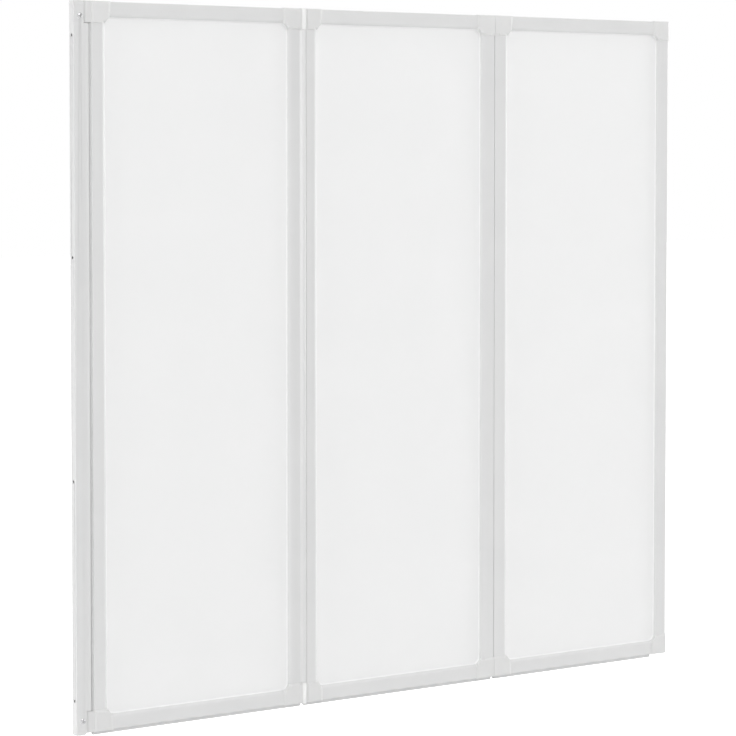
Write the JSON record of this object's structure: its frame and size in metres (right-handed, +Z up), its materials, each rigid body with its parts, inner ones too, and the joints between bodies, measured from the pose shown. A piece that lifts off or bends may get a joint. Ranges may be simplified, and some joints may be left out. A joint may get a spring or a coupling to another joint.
{
  "type": "folding bath screen",
  "caption": "Folding bath screen: framed translucent panels hinged to each other and to a wall channel, with moulded corner pieces and bottom seals.",
  "frame": {"origin": "centre of the wall channel's back face, at mid height", "axes": "+X away from the wall along the open screen, -Y the face seen from the room, +Z up"},
  "size_m": [1.2714, 0.028, 1.2155],
  "materials": {
    "frame_paint": "white powder coat on aluminium extrusion, satin",
    "fitting_plastic": "white moulded plastic, satin",
    "hinge_nylon": "bright white nylon",
    "screw_steel": "zinc plated",
    "pane": "translucent frosted white sheet",
    "seal_pvc": "soft white PVC"
  },
  "bodies": {
    "wall_frame": {"wall_channel": "frame_paint", "wall_jamb": "frame_paint", "channel_cap_bottom": "fitting_plastic", "channel_cap_top": "fitting_plastic", "locking_screws": "screw_steel"},
    "panel_1": {"panel_1_left_stile": "frame_paint", "panel_1_right_stile": "frame_paint", "panel_1_bottom_rail": "frame_paint", "panel_1_top_rail": "frame_paint", "panel_1_pane": "pane", "panel_1_gasket": "seal_pvc", "panel_1_bottom_seal": "seal_pvc", "panel_1_corner_bottom_left": "fitting_plastic", "panel_1_corner_bottom_right": "fitting_plastic", "panel_1_corner_top_left": "fitting_plastic", "panel_1_corner_top_right": "fitting_plastic", "wall_hinge_pins": "screw_steel", "wall_hinge_washers": "hinge_nylon"},
    "panel_2": {"panel_2_left_stile": "frame_paint", "panel_2_right_stile": "frame_paint", "panel_2_bottom_rail": "frame_paint", "panel_2_top_rail": "frame_paint", "panel_2_pane": "pane", "panel_2_gasket": "seal_pvc", "panel_2_bottom_seal": "seal_pvc", "panel_2_corner_bottom_left": "fitting_plastic", "panel_2_corner_bottom_right": "fitting_plastic", "panel_2_corner_top_left": "fitting_plastic", "panel_2_corner_top_right": "fitting_plastic", "hinge_1_plug_bottom": "hinge_nylon", "hinge_1_plug_top": "hinge_nylon", "hinge_1_pins": "screw_steel", "hinge_1_washers": "hinge_nylon"},
    "panel_3": {"panel_3_left_stile": "frame_paint", "panel_3_right_stile": "frame_paint", "panel_3_bottom_rail": "frame_paint", "panel_3_top_rail": "frame_paint", "panel_3_pane": "pane", "panel_3_gasket": "seal_pvc", "panel_3_bottom_seal": "seal_pvc", "panel_3_corner_bottom_left": "fitting_plastic", "panel_3_corner_bottom_right": "fitting_plastic", "panel_3_corner_top_left": "fitting_plastic", "panel_3_corner_top_right": "fitting_plastic", "hinge_2_plug_bottom": "hinge_nylon", "hinge_2_plug_top": "hinge_nylon", "hinge_2_pins": "screw_steel", "hinge_2_washers": "hinge_nylon"}
  },
  "joints": [
    {"name": "wall_hinge", "type": "hinge", "parent": "wall_frame", "child": "panel_1", "pos_m": [0.0239, 0, 0], "axis": [0, 0, 1], "range_deg": [0, 90]},
    {"name": "hinge_1_2", "type": "hinge", "parent": "panel_1", "child": "panel_2", "pos_m": [0.4442, -0.01, 0], "axis": [0, 0, 1], "range_deg": [-180, 0]},
    {"name": "hinge_2_3", "type": "hinge", "parent": "panel_2", "child": "panel_3", "pos_m": [0.8589, 0.01, 0], "axis": [0, 0, 1], "range_deg": [0, 180]}
  ]
}
